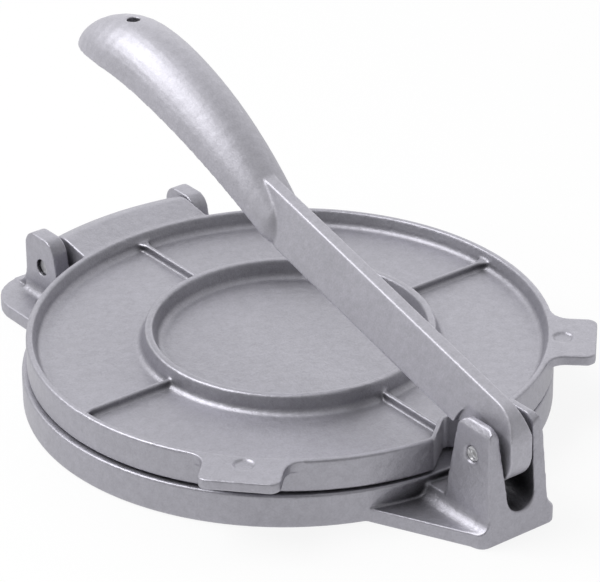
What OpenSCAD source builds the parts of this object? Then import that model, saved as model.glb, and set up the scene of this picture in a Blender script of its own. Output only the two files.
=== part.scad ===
// Cast aluminium tortilla press: a round base and lid hinged at the back, and a pressing lever
// that swings on a bracket at the front. Millimetres, +Z up.
// The origin is the centre of the plates, on the table. The hinge runs along X at the back (+Y),
// and the lever's bracket stands at the front (-Y). The lever lies back over the lid.

/* [Plates] */
// Outer radius of the base plate
base_r = 107; // [100:1:114]
// Height of the base's pressing face over the table
base_h = 14.5; // [13.5:0.1:16]
// How much smaller the lid's radius is than the base's
lid_inset = 1; // [0.5:0.5:3]
// Gap between the two pressing faces when the lid is down
plate_gap = 1; // [0.6:0.1:1.6]
// Height of the lid's rim, from its pressing face up
lid_h = 13.6; // [12:0.1:15]
// Thickness of the lid inside its rim
lid_floor_t = 7.3; // [6:0.1:8]
// Thickness of the base plate over its hollow underside
base_floor_t = 5.5; // [4.5:0.1:7]
// Width of the rim's flat top
rim_w = 2; // [1.8:0.1:3]
// Thickness of the base's outer wall
base_wall = 5; // [4:0.1:6.5]
// How far the lid sits to the right in its hinge
lid_aside = 0.9; // [0:0.1:1]
// How far the lid's centre lies in front of the base's
lid_ahead = 0.7; // [0:0.1:0.9]

/* [Ring and ribs] */
// Outer radius of the raised ring
ring_r = 58.6; // [50:0.2:66]
// Width of the ring's flat top
ring_w = 3.5; // [2.8:0.1:4.5]
// Height of the ring's top over the rim
ring_over = 1; // [0.2:0.1:1.6]
// Height of the four radial ribs
rib_h = 3.2; // [2.4:0.1:4]
// Width of a rib's top
rib_w = 1.7; // [1.2:0.1:2.4]
// Radius of the fillets where a wall meets a plate
fillet_r = 3; // [2:0.1:3.4]
// Radius of the cast edges
edge_r = 0.9; // [0.6:0.1:1.2]

/* [Tabs and notch] */
// How far the two lift tabs reach past the lid
tab_reach = 16.6; // [13:0.2:19]
// Width of a lift tab at its outer edge
tab_w = 31.6; // [26:0.2:35]
// Angle from the front to the middle of a lift tab, in degrees
tab_angle = 46.8; // [42:0.2:52]
// Thickness of a lift tab
tab_t = 4.3; // [3.4:0.1:5.5]
// Half the width of the lid's front notch at the rim
notch_half = 14; // [12:0.5:15]
// Depth of the front notch
notch_depth = 11; // [9:0.5:12]
// How far the notch's middle lies to the right of the lid's
notch_aside = 1.8; // [0:0.1:2]

/* [Rear hinge] */
// Radius of the lid's hinge barrel
barrel_r = 12; // [10:0.1:12.2]
// Distance from the base's edge to the hinge axis
hinge_back = 11.5; // [11.3:0.1:13]
// How far the hinge's middle lies to the right of the base's
hinge_aside = 1; // [0:0.1:1.5]
// Height of the hinge axis over the base's pressing face
hinge_rise = 5; // [4.6:0.1:5.6]
// Width of the lid's hinge barrel
barrel_w = 62.6; // [54:0.2:68]
// Side gap between the barrel and the right rear ear
barrel_side_gap = 0.5; // [0.4:0.1:1]
// Half the depth of a rear ear, front to back
ear_half = 11.8; // [10.5:0.1:13]
// Height of the left rear ear over the hinge axis
ear_rise = 14; // [12.4:0.1:15]
// How much lower the right rear ear is
right_ear_drop = 1.6; // [0:0.1:2]
// Thickness of a rear ear
ear_t = 7.5; // [6:0.1:9]
// Radius of a hinge pin
hinge_pin_r = 3.5; // [3:0.1:4]
// How deep a hinge pin reaches into the barrel
hinge_pin_reach = 14; // [10:0.5:18]
// Height of the low shelves that carry the ears and the bracket
shelf_h = 6; // [5:0.1:7]
// How far the rear shelf reaches behind the hinge axis
rear_shelf_back = 21.5; // [17:0.5:24]
// Half the width of the rear shelf
rear_shelf_half = 55.5; // [50:0.5:62]

/* [Front bracket] */
// Distance from the base's edge to the lever's pin
pivot_out = 22.8; // [21.5:0.1:25]
// Height of the lever's pin over the table
pivot_z = 34.5; // [33:0.1:37]
// Side gap between the lever's eye and the slot, at the eye's lowest point
eye_gap = 0.3; // [0.2:0.1:1]
// How far the slot's middle lies to the right of the lever's at the height of the pin
slot_aside = 0.4; // [0:0.1:0.8]
// How much the slot leans to the right towards its bottom, across over down
slot_lean = 0.06; // [0:0.01:0.08]
// Thickness of each bracket ear at the pin
bracket_ear_t = 5.8; // [5:0.1:8]
// Height of the bracket over the pin
bracket_over_pin = 13.4; // [12:0.1:14]
// Half the width of the bracket's foot
foot_half = 19.3; // [18.1:0.2:21.5]
// Radius of the lever's pin
lever_pin_r = 3; // [2.6:0.1:4]

/* [Lever] */
// Slope of the lever as it rests over the lid, in degrees
lever_slope = 14.7; // [12:0.1:18]
// Radius of the lever's eye
eye_r = 13.7; // [13:0.1:14.5]
// Thickness of the lever's eye
eye_t = 10.6; // [9.8:0.1:11]
// Depth of the bar
bar_depth = 19.6; // [18:0.1:21]
// Half the width of the bar's top
bar_top_half = 2.7; // [2.2:0.1:3.2]
// Half the width of the bar's bottom
bar_bottom_half = 8.4; // [7.6:0.1:9.2]
// Length of the lever, from its pin to the tip of the handle
lever_len = 275; // [262:1:285]
// Half the width of the handle where it is widest
handle_half = 17.5; // [16:0.1:19]
// Height of the handle's crest over its edges, as a share of its half width
handle_crest = 1.02; // [0.9:0.01:1.1]
// Height of the handle's arched edge over the bar's bottom
handle_arch = 18.2; // [15:0.1:20]
// Wall thickness of the hollow lever
lever_wall = 3; // [2.6:0.1:3.6]
// Radius of the hanging hole
hang_hole_r = 2.7; // [2:0.1:3.2]

/* [Hidden] */
$fn = 96;

cast_grey = [0.68, 0.68, 0.71];
pin_grey = [0.78, 0.78, 0.8];

// Fits
run_fit = 0.05;       // radial clearance of a pin in what turns on it
relief_gap = 0.7;     // gap between the bar and the bracket's corners
pin_end_gap = 1;      // space past a hinge pin's inner end
recess_depth = 1;     // recess round each end of the lever's pin
recess_margin = 0.5;  // how much wider the recess is than the pin
eps = 0.01;

// Heights and places that follow from the driving sizes
lid_r = base_r - lid_inset;
lid_z = base_h + plate_gap;
lid_top = lid_z + lid_h;
floor_z = lid_z + lid_floor_t;
base_roof = base_h - base_floor_t;
wall_slant = 1.2;
hinge_y = base_r + hinge_back;
hinge_z = base_h + hinge_rise;
rear_ear_x = barrel_w / 2 + lid_aside + barrel_side_gap;
pivot_y = -(base_r + pivot_out);
slot_draft = 0.06;
slot_half = eye_t / 2 + eye_gap + slot_aside + (slot_lean + slot_draft) * eye_r;
pin_half = slot_half + bracket_ear_t;

// Points of an arc from angle a0 to a1
function arc(cx, cy, r, a0, a1, n = 8) =
    [for (i = [0:n]) let (a = a0 + (a1 - a0) * i / n) [cx + r * cos(a), cy + r * sin(a)]];

// Cross-section of a raised wall on a floor, walked from its outer side to its inner side.
// out is the radius of its outer top edge, w the width of its top, and slant its draft.
function wall_outer(out, z0, z1) = concat(
    arc(out + wall_slant + fillet_r, z0 + fillet_r, fillet_r, 270, 180 + 8),
    arc(out - edge_r, z1 - edge_r, edge_r, 8, 90, 5));
function wall_inner(inner, z0, z1) = concat(
    arc(inner + edge_r, z1 - edge_r, edge_r, 90, 172, 5),
    arc(inner - wall_slant - fillet_r, z0 + fillet_r, fillet_r, -8, -90));

function lid_profile() = concat(
    [[0, lid_z], [lid_r - edge_r / 2, lid_z], [lid_r, lid_z + edge_r / 2]],
    arc(lid_r - edge_r, lid_top - edge_r, edge_r, 0, 90, 5),
    wall_inner(lid_r - rim_w - edge_r, floor_z, lid_top),
    wall_outer(ring_r, floor_z, lid_top + ring_over),
    wall_inner(ring_r - ring_w, floor_z, lid_top + ring_over),
    [[0, floor_z]]);

// The base's hollow underside has a ring and four ribs like the lid's
ring_foot_z = 2;

module base_disc() {
    inner_r = base_r - base_wall;
    difference() {
        rotate_extrude() polygon(concat(
            [[0, 0], [base_r - edge_r, 0], [base_r, edge_r]],
            arc(base_r - edge_r, base_h - edge_r, edge_r, 0, 90, 5),
            [[0, base_h]]));
        rotate_extrude() polygon(concat(
            [[0, -1], [inner_r, -1]],
            arc(inner_r - fillet_r, base_roof - fillet_r, fillet_r, 0, 90),
            [[0, base_roof]]));
    }
    // Stiffening ring and ribs under the plate
    rotate_extrude() polygon([
        [ring_r - ring_w - wall_slant, base_roof + eps], [ring_r - ring_w, ring_foot_z],
        [ring_r, ring_foot_z], [ring_r + wall_slant, base_roof + eps]]);
    for (k = [0:3]) rotate([0, 0, 90 * k])
        translate([ring_r, 0, base_roof + eps]) mirror([0, 0, 1])
            rib(inner_r - ring_r + eps);
}

// A rib along +X with sloping sides, standing on z = 0
module rib(length) {
    foot = rib_w / 2 + 0.8;
    rotate([90, 0, 90]) linear_extrude(length)
        polygon([[-foot, 0], [foot, 0], [rib_w / 2, rib_h], [-rib_w / 2, rib_h]]);
}

// A concave fillet of radius r along +X, filling the corner of the planes y = 0 and z = 0
module corner_fillet(length, r) {
    rotate([90, 0, 90]) linear_extrude(length)
        polygon(concat([[-eps, -eps], [r, -eps]], arc(r, r, r, 270, 180), [[-eps, r]]));
}

// The rear shelf, with round corners
module rear_shelf() {
    corner = 20;
    back = hinge_y + rear_shelf_back;
    linear_extrude(shelf_h) polygon(concat(
        [[-rear_shelf_half, 0], [rear_shelf_half, 0]],
        arc(rear_shelf_half - corner, back - corner, corner, 0, 90),
        arc(corner - rear_shelf_half, back - corner, corner, 90, 180)));
}

// One rear ear: a square head with round corners, on a foot that spreads to the back.
// Its head is lower by drop.
module rear_ear(drop) {
    back = hinge_y + ear_half;
    spread = rear_shelf_back - ear_half;
    corner = 7;
    top = hinge_z + ear_rise - drop;
    lean = 2.5;
    rotate([90, 0, 90]) linear_extrude(ear_t) polygon(concat(
        [[base_r - 6, 0], [back + spread, 0], [back + spread, shelf_h]],
        arc(back + spread, shelf_h + spread, spread, 270, 180),
        arc(back - corner, top - corner, corner, 0, 90),
        arc(hinge_y - ear_half + lean + corner, top - corner, corner, 90, 170),
        [[hinge_y - ear_half, base_h], [base_r - 6, base_h]]));
    // Fillets at both foot lines, the inner one small enough for the barrel
    for (side = [0, 1]) translate([side * ear_t, back, shelf_h])
        mirror([1 - side, 0, 0]) rotate([0, 0, -90]) corner_fillet(2 * ear_half, 2 + 2 * side);
}

// The bracket's front face leans back a little
front_lean = 0.07;
front_out = 36.1;
function front_y(z) = -(base_r + front_out) + front_lean * z;

bracket_top = pivot_z + bracket_over_pin;

// Half the width of the bracket at height z
function bracket_half(z) = pin_half + (pivot_z - z) * 0.045;

// Plan of the front foot: tangent arcs leave the base's edge and run to the foot's corners
module foot_plan() {
    blend = 12;
    corner = 5;
    near = [-38, 6.6 - base_r];
    far = [-foot_half, front_y(0) + corner];
    along = (near - far) / norm(near - far);
    out = [-along[1], along[0]];
    d = out * far;
    t = sqrt(pow(base_r + blend, 2) - pow(d + blend, 2));
    c = out * (d + blend) + along * t;
    a_disc = atan2(-c[1], -c[0]);
    a_line = atan2(-out[1], -out[0]);
    side = concat(
        arc(c[0], c[1], blend, a_disc, a_line + (a_line < a_disc - 180 ? 360 : 0)),
        arc(corner - foot_half, front_y(0) + corner, corner, 180, 270));
    polygon(concat([[0, -base_r / 2]], side,
        [for (i = [len(side) - 1:-1:0]) [-side[i][0], side[i][1]]]));
}

// Height over the shelf of the web between the bracket and the base's wall
web_h = 5.5;

// The web's plan fillets against the base's wall
module web_fillets() {
    r = 5.5;
    top = shelf_h + web_h - 0.4;
    side = bracket_half(top) - 0.5;
    wall = -sqrt(pow(base_r - 1, 2) - pow(side + r, 2));
    for (k = [0, 1]) mirror([k, 0, 0]) linear_extrude(top) polygon(concat(
        [[side - 1, -base_r / 2], [side - 1, wall - r]], arc(side + r, wall - r, r, 180, 90),
        [[side + r, -base_r / 2]]));
}

// The bracket's two ears and the low web that joins them to the base's wall
module bracket_body() {
    flare = 6;
    z_flare = shelf_h + flare;
    back_low = -(base_r + 9);
    back_high = -(base_r + 13.8);
    back_round = 6;
    edge_bevel = [1.8, 3];
    half = concat(
        [[2 * foot_half, 0], [2 * foot_half, shelf_h]],
        arc(bracket_half(z_flare) + flare, z_flare, flare, 270, 180),
        [[bracket_half(bracket_top - edge_bevel[1]), bracket_top - edge_bevel[1]],
         [bracket_half(bracket_top) - edge_bevel[0], bracket_top]]);
    intersection() {
        linear_extrude(bracket_top) foot_plan();
        // Front view
        rotate([90, 0, 0]) linear_extrude(2 * base_r)
            polygon(concat(half, [for (i = [len(half) - 1:-1:0]) [-half[i][0], half[i][1]]]));
        // Side view
        rotate([90, 0, 90]) linear_extrude(4 * foot_half, center = true) polygon(concat(
            [[-base_r / 2, 0], [-base_r / 2, shelf_h + web_h], [back_low, shelf_h + web_h]],
            arc(back_high - back_round, bracket_top - back_round, back_round, 10, 90),
            [[front_y(bracket_top), bracket_top], [-2 * base_r, bracket_top], [-2 * base_r, 0]]));
        // The ears' tops are round where they face the slot, and square at their outer faces
        union() {
            translate([-base_r, -2 * base_r, 0]) cube([2 * base_r, 2 * base_r, pivot_z]);
            for (side = [0, 1]) mirror([side, 0, 0]) translate([0, pivot_y, pivot_z])
                rotate([0, 90, 0]) cylinder(r1 = dome_r - slot_half * dome_flare,
                    r2 = dome_r + slot_half * dome_flare, h = 2 * slot_half);
        }
    }
}
dome_r = 14.1;
dome_flare = 0.42;

// The low foot and the bracket on it, with the slot and the bore for the lever
module bracket() {
    slot_bottom = 10.4;
    slot_r = (slot_half - slot_draft * (pivot_z - slot_bottom)) / (1 - slot_draft);
    slot_z = slot_bottom + slot_r;
    slot_top = slot_half + slot_draft * pivot_z;
    difference() {
        union() {
            linear_extrude(shelf_h) foot_plan();
            web_fillets();
            bracket_body();
        }
        // The leaning front face
        rotate([90, 0, 90]) linear_extrude(4 * base_r, center = true) polygon(
            [[front_y(-1), -1], [-2 * base_r, -1], [-2 * base_r, 2 * bracket_top],
             [front_y(2 * bracket_top), 2 * bracket_top]]);
        // Slot with a round bottom and a little draft for the lever's eye
        translate([slot_aside, 1.5 - base_r, 0]) rotate([90, 0, 0]) linear_extrude(base_r)
            polygon(concat(arc(slot_lean * (pivot_z - slot_z), slot_z, slot_r, 180, 360, 24),
                [[slot_top - slot_lean * pivot_z, 2 * pivot_z],
                 [-slot_top - slot_lean * pivot_z, 2 * pivot_z]]));
        // Bore and end recesses of the lever's pin
        translate([0, pivot_y, pivot_z]) rotate([0, 90, 0]) {
            cylinder(r = lever_pin_r, h = 4 * foot_half, center = true);
            for (side = [0, 1]) mirror([0, 0, side]) translate([0, 0, pin_half - recess_depth])
                cylinder(r = lever_pin_r + recess_margin, h = foot_half);
        }
    }
}

module base() {
    color(cast_grey) difference() {
        union() {
            base_disc();
            difference() {
                union() {
                    rear_shelf();
                    bracket();
                    for (side = [0, 1]) translate([hinge_aside, 0, 0]) mirror([side, 0, 0])
                        translate([rear_ear_x, 0, 0]) rear_ear((1 - side) * right_ear_drop);
                }
                // The shelves stop inside the base's outer wall
                translate([0, 0, -1]) cylinder(r = base_r - base_wall + 1, h = 2 * bracket_top);
            }
        }
        // Bores of the two hinge pins
        translate([hinge_aside, hinge_y, hinge_z]) rotate([0, 90, 0])
            for (side = [0, 1]) mirror([0, 0, side]) translate([0, 0, rear_ear_x - 1])
                cylinder(r = hinge_pin_r, h = ear_t + 2);
    }
}

// A lift tab, reaching out along +X, with wide fillets at its root
module tab() {
    corner = 4;
    root_r = 8;
    half = tab_w / 2;
    reach = lid_r + tab_reach;
    root_y = half + root_r;
    root_x = sqrt(pow(lid_r + root_r, 2) - pow(root_y, 2));
    swing = atan2(root_y, root_x);
    side = concat(
        [[lid_r - 2 * corner, root_y]],
        arc(root_x, root_y, root_r, 180 + swing, 270),
        arc(reach - corner, half - corner, corner, 90, 0));
    translate([0, 0, lid_top - tab_t]) linear_extrude(tab_t) polygon(concat(side,
        [for (i = [len(side) - 1:-1:0]) [side[i][0], -side[i][1]]]));
}

// Shallow round mark of the mould's ejector pin on a lift tab
module tab_mark() {
    translate([lid_r + 3.2, 0, lid_top - 0.8]) cylinder(r = 4.2, h = 1);
}

// The V of the front notch, with a round apex, widened by grow
module notch_plan(grow) {
    round_r = 3;
    lean = atan(notch_depth / notch_half);
    reach = 2 * notch_half;
    tip = arc(notch_aside, notch_depth - lid_r - round_r, round_r + grow, 90 - lean, 90 + lean);
    polygon(concat(tip,
        [tip[len(tip) - 1] - reach * [cos(lean), sin(lean)],
         tip[0] + reach * [cos(lean), -sin(lean)]]));
}

// A rib of the lid along +X, from the ring to the rim, with a spread outer end
module lid_rib(length) {
    spread = 3.4;
    spread_len = 7;
    rib(length);
    linear_extrude(rib_h) polygon([[length - spread_len, 0], [length, spread],
        [length + 1, spread], [length + 1, -spread], [length, -spread]]);
}

// The lid about its own centre, without its front notch and its bores
module lid_blank() {
    notch_wall = 1.8;
    dish_r = lid_r - rim_w - wall_slant;
    tongue_root = lid_r - rim_w / 2;
    hinge_r = hinge_y + lid_ahead;
    barrel_start = 180 + asin((hinge_z - lid_z) / barrel_r);
    difference() {
        union() {
            rotate_extrude() polygon(lid_profile());
            for (k = [0:3]) rotate([0, 0, 90 * k]) translate([ring_r, 0, floor_z - eps])
                lid_rib(dish_r - ring_r);
        }
        // Room for the notch's own wall
        translate([0, 0, floor_z]) linear_extrude(lid_h) notch_plan(notch_wall);
    }
    // Rim carried round the notch
    intersection() {
        translate([0, 0, lid_z]) cylinder(r = lid_r - eps, h = lid_h);
        translate([0, 0, floor_z - 1]) linear_extrude(lid_top - floor_z + 1)
            notch_plan(notch_wall);
    }
    // Lift tabs on both sides of the lever
    difference() {
        for (side = [-1, 1]) rotate([0, 0, side * tab_angle - 90]) tab();
        cylinder(r = lid_r - rim_w, h = 2 * lid_top);
    }
    // Hinge barrel and the tongue that joins it to the rim, both following the lid's curve
    intersection() {
        rotate_extrude() polygon(concat(
            [[tongue_root, lid_z]],
            arc(hinge_r, hinge_z, barrel_r, barrel_start, 450, 36),
            [[lid_r, lid_top], [tongue_root, lid_top]]));
        translate([hinge_aside - barrel_w / 2, lid_r / 2, 0]) cube([barrel_w, lid_r, 2 * lid_top]);
    }
}

module lid() {
    color(cast_grey) difference() {
        translate([lid_aside, -lid_ahead, 0]) difference() {
            lid_blank();
            for (side = [-1, 1]) rotate([0, 0, side * tab_angle - 90]) tab_mark();
            // Front notch
            translate([0, 0, lid_z - 1]) linear_extrude(lid_h + 2) notch_plan(0);
        }
        // Blind bores for the hinge pins
        translate([hinge_aside, hinge_y, hinge_z]) rotate([0, 90, 0])
            for (side = [0, 1]) mirror([0, 0, side])
                translate([0, 0, rear_ear_x - hinge_pin_reach - pin_end_gap])
                    cylinder(r = hinge_pin_r + run_fit, h = hinge_pin_reach + 2);
    }
}

// The handle's outline along the lever. s runs from the pin to the tip.
handle_start = lever_len - 144;
handle_crown = lever_len - 55;
handle_wide = lever_len - 34;
neck_len = 8;
neck_share = 0.7;
arch_front = 0.00229;
arch_tip = 0.0044;
narrowing = 6.9;
narrowing_run = 108;

// Height of the handle's edges over the bar's bottom
function edge_height(s) = handle_arch
    - (s < handle_crown ? arch_front : arch_tip) * pow(s - handle_crown, 2);

// Half the handle's width, made smaller by inset on every side
function grip_half(s, inset) =
    let (
        taper = narrowing * pow(max(0, handle_wide + 4 - s) / narrowing_run, 2),
        neck = min(1, max(0, (s - handle_start) / neck_len)),
        past = max(0, (s - handle_wide) / (lever_len - inset - handle_wide))
    )
    (handle_half - inset - taper) * (neck_share + (1 - neck_share) * sin(90 * neck))
        * sqrt(max(0, 1 - past * past));

// The half-round body of the handle, made smaller by inset, and carried down by drop
module handle_shape(inset, drop) {
    sides = 20;
    per = sides + 1;
    s0 = handle_start + inset;
    s1 = s0 + neck_len;
    tip = lever_len - inset;
    // Rings of points lie closer together at the neck and towards the tip
    stations = concat(
        [for (i = [0:5]) s0 + neck_len * i / 6],
        [for (i = [0:13]) s1 + (handle_wide - s1) * i / 14],
        [for (i = [0:8]) handle_wide + (tip - handle_wide) * sin(10 * i)]);
    last = len(stations) - 1;
    points = concat(
        [for (s = stations, j = [0:sides]) let (
                a = 180 * j / sides,
                w = grip_half(s, inset))
            [w * cos(a), s, edge_height(s) - drop + (w * handle_crest + drop) * sin(a)]],
        [[0, tip, edge_height(tip) - drop]]);
    end = len(points) - 1;
    faces = concat(
        [[for (j = [sides:-1:0]) j]],
        [for (i = [0:last - 1], j = [0:sides - 1]) let (p = i * per + j) [p, p + 1, p + per]],
        [for (i = [0:last - 1], j = [0:sides - 1]) let (p = i * per + j)
            [p + 1, p + per + 1, p + per]],
        [for (i = [0:last - 1]) let (p = i * per) [p, p + per, p + per + sides]],
        [for (i = [0:last - 1]) let (p = i * per) [p, p + per + sides, p + sides]],
        [for (j = [0:sides - 1]) let (p = last * per + j) [p, p + 1, end]],
        [[last * per, end, last * per + sides]]);
    polyhedron(points, faces, convexity = 6);
}

// Cross-section of the bar from n0 up to n1, swept along the lever from s0 to s1
module bar_prism(s0, s1, n0, n1, inset) {
    slope = (bar_bottom_half - bar_top_half) / bar_depth;
    function half(n) = bar_bottom_half - slope * n - inset;
    translate([0, s1, 0]) rotate([90, 0, 0]) linear_extrude(s1 - s0)
        polygon([[-half(n0), n0], [half(n0), n0], [half(n1), n1], [-half(n1), n1]]);
}

// The lever in its own frame: its pin on X at the origin, the bar along +Y
module lever_straight() {
    nose_r = 15;
    nose = [2.6, bar_depth - nose_r];
    bar_end = handle_start + 22;
    relief_r = relief_radius();
    channel_start = relief_r + lever_wall;
    difference() {
        union() {
            // Bar and eye, cut from one wedge-shaped section
            intersection() {
                bar_prism(-2 * eye_r, bar_end, -eye_r, bar_depth, 0);
                rotate([0, 90, 0]) linear_extrude(8 * eye_r, center = true) union() {
                    circle(r = eye_r);
                    translate([-nose[1], nose[0]]) circle(r = nose_r);
                    // The bar's bottom rises with the handle's edge and ends inside the handle
                    polygon(concat([[-bar_depth, nose[0]], [0, nose[0]]],
                        [for (s = [handle_start:2:bar_end]) [-max(0, edge_height(s)), s]],
                        [[-bar_depth, bar_end]]));
                }
            }
            handle_shape(0, 0);
        }
        // Relief that clears the bracket's ears on both sides of the eye
        for (side = [0, 1]) mirror([side, 0, 0]) translate([eye_t / 2, 0, 0]) rotate([0, 90, 0])
            cylinder(r = relief_r, h = 4 * eye_r);
        // Hollow underside of the bar and the handle
        translate([0, 0, -eps]) bar_prism(channel_start, handle_start + 6, 0,
            bar_depth - 2 * lever_wall, lever_wall);
        handle_shape(lever_wall, 1);
        // Bore for the lever's pin
        rotate([0, 90, 0]) cylinder(r = lever_pin_r + run_fit, h = 8 * eye_r, center = true);
        // Hanging hole near the tip
        translate([0, lever_len - 27.5, 0]) cylinder(r = hang_hole_r, h = 4 * handle_half);
    }
}

// The bar clears the bracket's farthest top corner as the lever swings
function relief_radius() =
    norm([front_y(bracket_top) - pivot_y, bracket_top - pivot_z]) + relief_gap;

module lever() {
    color(cast_grey) translate([0, pivot_y, pivot_z]) rotate([lever_slope, 0, 0]) lever_straight();
}

module lever_pin() {
    length = 2 * (pin_half - recess_depth + 0.5);
    color(pin_grey) translate([0, pivot_y, pivot_z]) rotate([0, 90, 0])
        cylinder(r = lever_pin_r, h = length, center = true);
}

// A hinge pin on the side given, 1 or -1, driven in from the outer face of its ear
module hinge_pin(side) {
    color(pin_grey) translate([hinge_aside, hinge_y, hinge_z]) rotate([0, 90 * side, 0])
        translate([0, 0, rear_ear_x - hinge_pin_reach])
            cylinder(r = hinge_pin_r, h = hinge_pin_reach + ear_t - 0.3);
}

module hinge_pin_left() { hinge_pin(-1); }
module hinge_pin_right() { hinge_pin(1); }

base();
lid();
lever();
lever_pin();
hinge_pin_left();
hinge_pin_right();
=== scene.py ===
import math
from collections import namedtuple

import bmesh
import bpy
from mathutils import Matrix, Vector


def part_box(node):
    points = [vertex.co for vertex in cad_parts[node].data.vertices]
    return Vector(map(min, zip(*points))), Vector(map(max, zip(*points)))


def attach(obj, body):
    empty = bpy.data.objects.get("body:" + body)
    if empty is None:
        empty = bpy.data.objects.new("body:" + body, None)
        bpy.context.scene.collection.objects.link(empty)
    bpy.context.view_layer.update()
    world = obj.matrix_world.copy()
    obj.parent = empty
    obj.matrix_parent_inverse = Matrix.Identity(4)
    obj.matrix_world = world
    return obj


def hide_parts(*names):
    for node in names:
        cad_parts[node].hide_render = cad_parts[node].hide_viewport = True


# Cast aluminium tortilla press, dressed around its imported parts. Metres, +Z up.
# The hinge is at the back (+Y), the lever's bracket at the front (-Y).
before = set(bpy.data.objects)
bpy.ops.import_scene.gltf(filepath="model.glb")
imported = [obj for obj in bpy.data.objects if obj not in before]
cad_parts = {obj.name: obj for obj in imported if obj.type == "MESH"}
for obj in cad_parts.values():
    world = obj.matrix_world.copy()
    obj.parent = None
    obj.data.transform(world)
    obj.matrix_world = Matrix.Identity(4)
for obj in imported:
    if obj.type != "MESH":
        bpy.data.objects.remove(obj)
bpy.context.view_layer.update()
scene = bpy.context.scene


# The base: one sand casting of silvery aluminium with the front foot, the lever's bracket,
# the rear shelf and the two hinge ears. The mould rounds every edge and fills every corner,
# and its sand leaves a fine grain on the skin.
BASE_VOXEL = 0.0004
BASE_ROUNDING = 14
SKIN_FACES = 190000
SAME_POINT = 1e-6


def cast_skin(node, voxel, rounding):
    """A copy of a casting's solid with the round edges and corners that a mould gives it."""
    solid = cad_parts[node]
    piece = bpy.data.objects.new("cast_" + node, solid.data.copy())
    scene.collection.objects.link(piece)
    # The solid's facets become an even skin, which is smoothed and then thinned out
    weld = piece.modifiers.new("weld", "WELD")
    weld.merge_threshold = SAME_POINT
    skin = piece.modifiers.new("skin", "REMESH")
    skin.mode = "VOXEL"
    skin.voxel_size = voxel
    soft = piece.modifiers.new("soft", "SMOOTH")
    soft.factor = 0.5
    soft.iterations = rounding
    bpy.context.view_layer.update()
    fine = piece.evaluated_get(bpy.context.evaluated_depsgraph_get())
    triangles = len(fine.data.polygons) * 2
    if triangles > SKIN_FACES:
        light = piece.modifiers.new("light", "DECIMATE")
        light.ratio = SKIN_FACES / triangles
    bpy.context.view_layer.update()
    fine = piece.evaluated_get(bpy.context.evaluated_depsgraph_get())
    mesh = bpy.data.meshes.new_from_object(fine)
    piece.modifiers.clear()
    piece.data = mesh
    mesh.materials.clear()
    mesh.shade_smooth()
    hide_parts(node)
    return piece


# Tones are shares of the colour, pattern sizes are cells a metre, depths are in metres
CAST_COLOUR = (0.400, 0.394, 0.436)
CAST_SMOOTHING = 0.08
CAST_GRAIN = 0.4
CAST_METALLIC = 0.85
CLOUDS_A_METRE = 26.0
MOTTLE_A_METRE = 330.0
SAND_A_METRE = 1300.0
CLOUD_TONES = (0.95, 1.05)
MOTTLE_TONES = (0.95, 1.05)
SAND_TONES = (0.94, 1.06)
MOTTLE_RELIEF = (0.0, 1.2)
EDGE_POINTINESS = (0.51, 0.56)
CORNER_POINTINESS = (0.44, 0.49)
# Painted highlight: convex edges are made lighter in colour
EDGE_HIGHLIGHT = 1.10
# Painted shade: concave corners are made darker in colour
CORNER_SHADE = 0.55
# Painted shade: slots and deep hollows are made darker the more closed in they are
HOLLOW_SHADE = 0.05
HOLLOW_REACH = 0.03
HOLLOW_OPENNESS = (0.4, 0.75)
CLOUD_ROUGHNESS = (0.50, 0.60)
EDGE_POLISH = -0.05
GRAIN_DEPTH = 0.0002
MOST_OF_NOISE = (0.3, 0.7)


def noise(tree, scale, detail):
    """A noise pattern fixed to the piece, with cells about 1 / scale metres wide."""
    place = tree.nodes.new("ShaderNodeTexCoord")
    pattern = tree.nodes.new("ShaderNodeTexNoise")
    pattern.inputs["Scale"].default_value = scale
    pattern.inputs["Detail"].default_value = detail
    tree.links.new(place.outputs["Object"], pattern.inputs["Vector"])
    return pattern.outputs["Fac"]


def spread(tree, value, taken, given):
    """The value stretched from the range taken to the range given, and held within it."""
    stretch = tree.nodes.new("ShaderNodeMapRange")
    stretch.inputs["From Min"].default_value = taken[0]
    stretch.inputs["From Max"].default_value = taken[1]
    stretch.inputs["To Min"].default_value = given[0]
    stretch.inputs["To Max"].default_value = given[1]
    tree.links.new(value, stretch.inputs["Value"])
    return stretch.outputs["Result"]


def joined(tree, operation, values):
    """The values joined one after another, by ADD or by MULTIPLY."""
    result = values[0]
    for value in values[1:]:
        step = tree.nodes.new("ShaderNodeMath")
        step.operation = operation
        tree.links.new(result, step.inputs[0])
        tree.links.new(value, step.inputs[1])
        result = step.outputs["Value"]
    return result


def shaded(tree, colour, tone):
    """The colour made lighter or darker by the tone."""
    tint = tree.nodes.new("ShaderNodeVectorMath")
    tint.operation = "SCALE"
    tint.inputs[0].default_value = colour
    tree.links.new(tone, tint.inputs["Scale"])
    return tint.outputs["Vector"]


def openness(tree):
    """How open a point is to the space around its piece: near 0 deep in a slot, 1 on a flat."""
    hollow = tree.nodes.new("ShaderNodeAmbientOcclusion")
    hollow.samples = 8
    hollow.only_local = True
    hollow.inputs["Distance"].default_value = HOLLOW_REACH
    return hollow.outputs["AO"]


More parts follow.
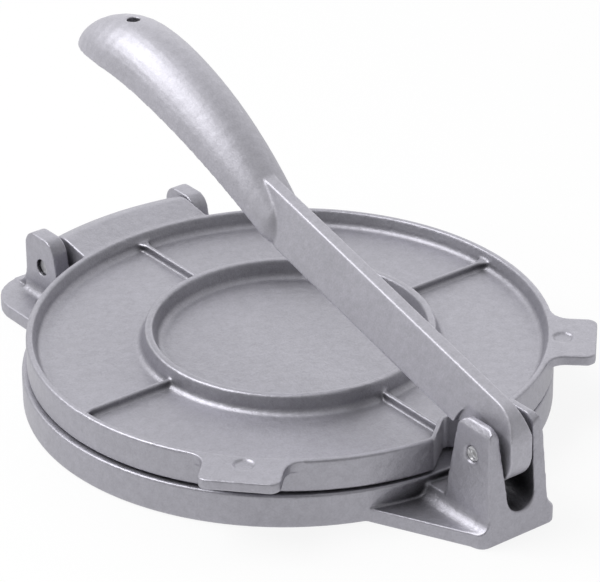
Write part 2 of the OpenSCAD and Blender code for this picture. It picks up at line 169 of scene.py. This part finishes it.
def cast_aluminium(name, colour, smoothing, grain):
    """Satin cast aluminium: cloudy tone, sand grain, a painted highlight on edges, painted shade in
    corners and slots.
    """
    material = bpy.data.materials.new(name)
    material.use_nodes = True
    tree = material.node_tree
    shader = tree.nodes["Principled BSDF"]
    shader.inputs["Metallic"].default_value = CAST_METALLIC
    cloud = noise(tree, CLOUDS_A_METRE, detail=4.0)
    mottle = noise(tree, MOTTLE_A_METRE, detail=3.0)
    sand = noise(tree, SAND_A_METRE, detail=2.0)
    edges = tree.nodes.new("ShaderNodeNewGeometry").outputs["Pointiness"]
    # Painted light: edges are lightened as a painted highlight, and corners, slots and deep hollows
    # are darkened as painted shade
    tone = joined(tree, "MULTIPLY", [
        spread(tree, cloud, MOST_OF_NOISE, CLOUD_TONES),
        spread(tree, mottle, MOST_OF_NOISE, MOTTLE_TONES),
        spread(tree, sand, MOST_OF_NOISE, SAND_TONES),
        spread(tree, edges, EDGE_POINTINESS, (1.0, EDGE_HIGHLIGHT)),
        spread(tree, edges, CORNER_POINTINESS, (CORNER_SHADE, 1.0)),
        spread(tree, openness(tree), HOLLOW_OPENNESS, (HOLLOW_SHADE, 1.0)),
    ])
    tree.links.new(shaded(tree, colour, tone), shader.inputs["Base Color"])
    roughness = joined(tree, "ADD", [
        spread(tree, cloud, MOST_OF_NOISE, [rough - smoothing for rough in CLOUD_ROUGHNESS]),
        spread(tree, edges, EDGE_POINTINESS, (0.0, EDGE_POLISH)),
    ])
    tree.links.new(roughness, shader.inputs["Roughness"])
    relief = tree.nodes.new("ShaderNodeBump")
    relief.inputs["Strength"].default_value = grain
    relief.inputs["Distance"].default_value = GRAIN_DEPTH
    height = joined(tree, "ADD", [sand, spread(tree, mottle, MOST_OF_NOISE, MOTTLE_RELIEF)])
    tree.links.new(height, relief.inputs["Height"])
    tree.links.new(relief.outputs["Normal"], shader.inputs["Normal"])
    return material


base = cast_skin("base", BASE_VOXEL, BASE_ROUNDING)
base.data.materials.append(
    cast_aluminium("base_casting", CAST_COLOUR, CAST_SMOOTHING, CAST_GRAIN)
)
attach(base, "base")


# The lid: one casting with a rim, a raised ring, four ribs, the front notch, two lift tabs
# and the barrel that turns on the hinge pins. It is the same metal as the base, from the
# same kind of mould.
LID_VOXEL = 0.0005
LID_ROUNDING = 7
lid = cast_skin("lid", LID_VOXEL, LID_ROUNDING)
lid.data.materials.append(
    cast_aluminium("lid_casting", CAST_COLOUR, CAST_SMOOTHING, CAST_GRAIN)
)
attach(lid, "lid")


# The lever: one hollow casting with an eye on the pin, a wedge-shaped bar and a long
# half-round handle. Its colour is the plates' made lighter, painted light for the light the
# handle catches. Hands have worn its grain down, and it shines more softly.
LEVER_VOXEL = 0.0004
LEVER_ROUNDING = 18
# Painted light: the cast colour made lighter for the lever
LEVER_PAINTED_LIGHT_COLOUR = (0.480, 0.473, 0.518)
HANDLED_SMOOTHING = 0.0
HANDLED_GRAIN = 0.22
lever = cast_skin("lever", LEVER_VOXEL, LEVER_ROUNDING)
lever.data.materials.append(
    cast_aluminium("lever_casting", LEVER_PAINTED_LIGHT_COLOUR, HANDLED_SMOOTHING, HANDLED_GRAIN)
)
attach(lever, "lever")


# The pins: drawn steel rod, driven into the ears. The hinge pins end a little inside their
# ears. A punch has staked the lever's pin, which left a dish and a ridge across its end.
PIN_COLOUR = (0.58, 0.58, 0.60)
PIN_METALLIC = 0.9
TARNISH_A_METRE = 700.0
TARNISH_TONES = (0.75, 1.15)
TARNISH_ROUGHNESS = (0.42, 0.30)
PIN_SIDES = 48
PIN_RINGS = 12
# The chamfer and the ridge's half width and length are shares of the pin's radius
CHAMFER_START = 0.9
CHAMFER_DEPTH = 0.08
RIDGE_HALF_WIDTH = 0.45
RIDGE_HALF_LENGTH = 1.1
STAKED_DISH = 0.0012
STAKED_RIDGE = 0.0014
HINGE_PIN_SUNK = 0.0012
HINGE_PIN_DISH = 0.0004


def drawn_steel():
    """Grey steel with a little tarnish in fine spots."""
    material = bpy.data.materials.new("drawn_steel")
    material.use_nodes = True
    tree = material.node_tree
    shader = tree.nodes["Principled BSDF"]
    shader.inputs["Metallic"].default_value = PIN_METALLIC
    tarnish = noise(tree, TARNISH_A_METRE, detail=3.0)
    tone = spread(tree, tarnish, MOST_OF_NOISE, TARNISH_TONES)
    roughness = spread(tree, tarnish, MOST_OF_NOISE, TARNISH_ROUGHNESS)
    tree.links.new(shaded(tree, PIN_COLOUR, tone), shader.inputs["Base Color"])
    tree.links.new(roughness, shader.inputs["Roughness"])
    return material


steel = drawn_steel()


def end_depth(out, y, z, radius, dish, ridge):
    """How far an end face lies behind its highest point, at the share out of the radius."""
    across, along = out * (y - z), out * (y + z)
    chamfer = CHAMFER_DEPTH * radius * max(0.0, out - CHAMFER_START) / (1 - CHAMFER_START)
    rise = ridge * math.exp(-((across / RIDGE_HALF_WIDTH) ** 2 + (along / RIDGE_HALF_LENGTH) ** 2))
    return max(0.0, dish * (1 - out ** 4) + chamfer - rise)


def driven_pin(node, sunk, dish, ridge):
    """A round pin along X in the place of its node, with sunk, dished ends and a ridge on them."""
    low, high = (Vector(corner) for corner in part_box(node))
    middle = (low + high) / 2
    radius = (high.z - low.z) / 2
    build = bmesh.new()
    loops = []
    for side, end in ((-1, low.x + sunk), (1, high.x - sunk)):
        for k in range(PIN_RINGS + 1):
            out = k / PIN_RINGS if side < 0 else 1 - k / PIN_RINGS
            loop = []
            for i in range(PIN_SIDES):
                angle = 2 * math.pi * i / PIN_SIDES
                y, z = math.cos(angle), math.sin(angle)
                x = end - side * end_depth(out, y, z, radius, dish, ridge)
                place = (x, middle.y + radius * out * y, middle.z + radius * out * z)
                loop.append(build.verts.new(place))
            loops.append(loop)
    for first, second in zip(loops, loops[1:]):
        for i in range(PIN_SIDES):
            j = (i + 1) % PIN_SIDES
            build.faces.new((first[i], first[j], second[j], second[i]))
    bmesh.ops.remove_doubles(build, verts=build.verts, dist=SAME_POINT)
    bmesh.ops.recalc_face_normals(build, faces=build.faces)
    mesh = bpy.data.meshes.new("staked_" + node)
    build.to_mesh(mesh)
    build.free()
    mesh.shade_smooth()
    mesh.materials.append(steel)
    piece = bpy.data.objects.new("staked_" + node, mesh)
    scene.collection.objects.link(piece)
    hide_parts(node)
    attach(piece, "base")


driven_pin("lever_pin", 0.0, STAKED_DISH, STAKED_RIDGE)
for side in ("left", "right"):
    driven_pin("hinge_pin_" + side, HINGE_PIN_SUNK, HINGE_PIN_DISH, 0.0)


# The camera looks down on the press from its front left, with a long lens from 1.45 m. The
# focal length and the picture's middle are in pixels of a picture 600 wide, the angles in
# degrees.
IMAGE_WIDTH = 600
SENSOR_WIDTH = 36.0
FOCAL_PX = 3588.64
CENTRE_PX = (10.06, 10.72)
CAMERA_PLACE = Vector((-0.76524, -1.00512, 0.71933))
CAMERA_TURN = -37.70
CAMERA_TILT = 27.925
CAMERA_ROLL = -0.38
view = bpy.data.cameras.new("view")
view.sensor_width = SENSOR_WIDTH
view.lens = FOCAL_PX * SENSOR_WIDTH / IMAGE_WIDTH
view.shift_x = -CENTRE_PX[0] / IMAGE_WIDTH
view.shift_y = -CENTRE_PX[1] / IMAGE_WIDTH
view.clip_start = 0.05
view.clip_end = 20.0
camera = bpy.data.objects.new("camera", view)
camera.matrix_world = (
    Matrix.Translation(CAMERA_PLACE)
    @ Matrix.Rotation(math.radians(CAMERA_TURN), 4, "Z")
    @ Matrix.Rotation(math.radians(90 - CAMERA_TILT), 4, "X")
    @ Matrix.Rotation(math.radians(CAMERA_ROLL), 4, "Z")
)
scene.collection.objects.link(camera)
scene.camera = camera


# The floor: a plain sheet of white paper that the press stands on. Seen or mirrored, the
# paper is mostly plain white, so that it keeps only a faint, soft shadow of the press.
FLOOR_HALF = 4.0
PAPER_COLOUR = (0.85, 0.85, 0.85, 1.0)
PAPER_ROUGHNESS = 0.9
PLAIN_SHARE = 0.88
WHITE = (1.0, 1.0, 1.0, 1.0)


def white_paper():
    """Matt paper that rays from the camera, a mirror or glass find mostly plain white."""
    material = bpy.data.materials.new("white_paper")
    material.use_nodes = True
    tree = material.node_tree
    matt = tree.nodes["Principled BSDF"]
    matt.inputs["Base Color"].default_value = PAPER_COLOUR
    matt.inputs["Roughness"].default_value = PAPER_ROUGHNESS
    plain = tree.nodes.new("ShaderNodeEmission")
    plain.inputs["Color"].default_value = WHITE
    ray = tree.nodes.new("ShaderNodeLightPath")
    kinds = ("Is Camera Ray", "Is Glossy Ray", "Is Transmission Ray")
    seen_by = joined(tree, "ADD", [ray.outputs[kind] for kind in kinds])
    share = tree.nodes.new("ShaderNodeMath")
    share.operation = "MULTIPLY"
    share.inputs[1].default_value = PLAIN_SHARE
    tree.links.new(seen_by, share.inputs[0])
    mix = tree.nodes.new("ShaderNodeMixShader")
    tree.links.new(share.outputs["Value"], mix.inputs["Fac"])
    tree.links.new(matt.outputs["BSDF"], mix.inputs[1])
    tree.links.new(plain.outputs["Emission"], mix.inputs[2])
    tree.links.new(mix.outputs["Shader"], tree.nodes["Material Output"].inputs["Surface"])
    return material


corners = [(-1, -1), (1, -1), (1, 1), (-1, 1)]
paper = bpy.data.meshes.new("floor")
paper.from_pydata([(FLOOR_HALF * x, FLOOR_HALF * y, 0.0) for x, y in corners], [], [(0, 1, 2, 3)])
paper.materials.append(white_paper())
floor = bpy.data.objects.new("floor", paper)
scene.collection.objects.link(floor)


# The light: a soft box high on the photo's left, in a studio with pale walls. The wall behind
# the press is the brightest, above all low down, the one on its right comes next, and the
# ceiling and the wall on its left are faint. Hardly any light comes from the front.
KEY_PLACE = Vector((-0.9, 0.7, 1.5))
KEY_SIZE = 1.4
KEY_POWER = 29.0
ROOM_FILL = 0.17
# A wall's turn is in degrees clockwise from +Y, its height in degrees over the horizon, and
# its light fades to the sides the faster, the higher its focus
Wall = namedtuple("Wall", "turn height strength focus")
WALLS = {
    "behind": Wall(38, 25, 0.70, 2),
    "right": Wall(128, 20, 0.39, 2),
    "ceiling": Wall(0, 90, 0.16, 2),
    "low_band": Wall(48, 8, 0.85, 8),
    "left": Wall(300, 20, 0.22, 2),
}


def wall_light(tree, wall):
    """The strength of one wall's light, from whichever way a ray comes."""
    turn, height = math.radians(wall.turn), math.radians(wall.height)
    flat = math.cos(height)
    place = tree.nodes.new("ShaderNodeTexCoord")
    facing = tree.nodes.new("ShaderNodeVectorMath")
    facing.operation = "DOT_PRODUCT"
    facing.inputs[1].default_value = (flat * math.sin(turn), flat * math.cos(turn), math.sin(height))
    tree.links.new(place.outputs["Generated"], facing.inputs[0])
    middle = wall.strength ** (1 / wall.focus)
    fading = tree.nodes.new("ShaderNodeMath")
    fading.operation = "POWER"
    fading.inputs[1].default_value = wall.focus
    faced = spread(tree, facing.outputs["Value"], (0.0, 1.0), (0.0, middle))
    tree.links.new(faced, fading.inputs[0])
    return fading.outputs["Value"]


def studio():
    """A room of plain white light: the walls' light together, and an even fill."""
    room = bpy.data.worlds.new("room")
    room.use_nodes = True
    tree = room.node_tree
    walls = joined(tree, "ADD", [wall_light(tree, wall) for wall in WALLS.values()])
    fill = tree.nodes.new("ShaderNodeMath")
    fill.operation = "ADD"
    fill.inputs[1].default_value = ROOM_FILL
    tree.links.new(walls, fill.inputs[0])
    background = tree.nodes["Background"]
    background.inputs["Color"].default_value = WHITE
    tree.links.new(fill.outputs["Value"], background.inputs["Strength"])
    return room


key_light = bpy.data.lights.new("key", "AREA")
key_light.size = KEY_SIZE
key_light.energy = KEY_POWER
key = bpy.data.objects.new("key", key_light)
key.location = KEY_PLACE
key.rotation_euler = (-KEY_PLACE).to_track_quat("-Z", "Y").to_euler()
scene.collection.objects.link(key)
scene.world = studio()
scene.view_settings.view_transform = "Standard"
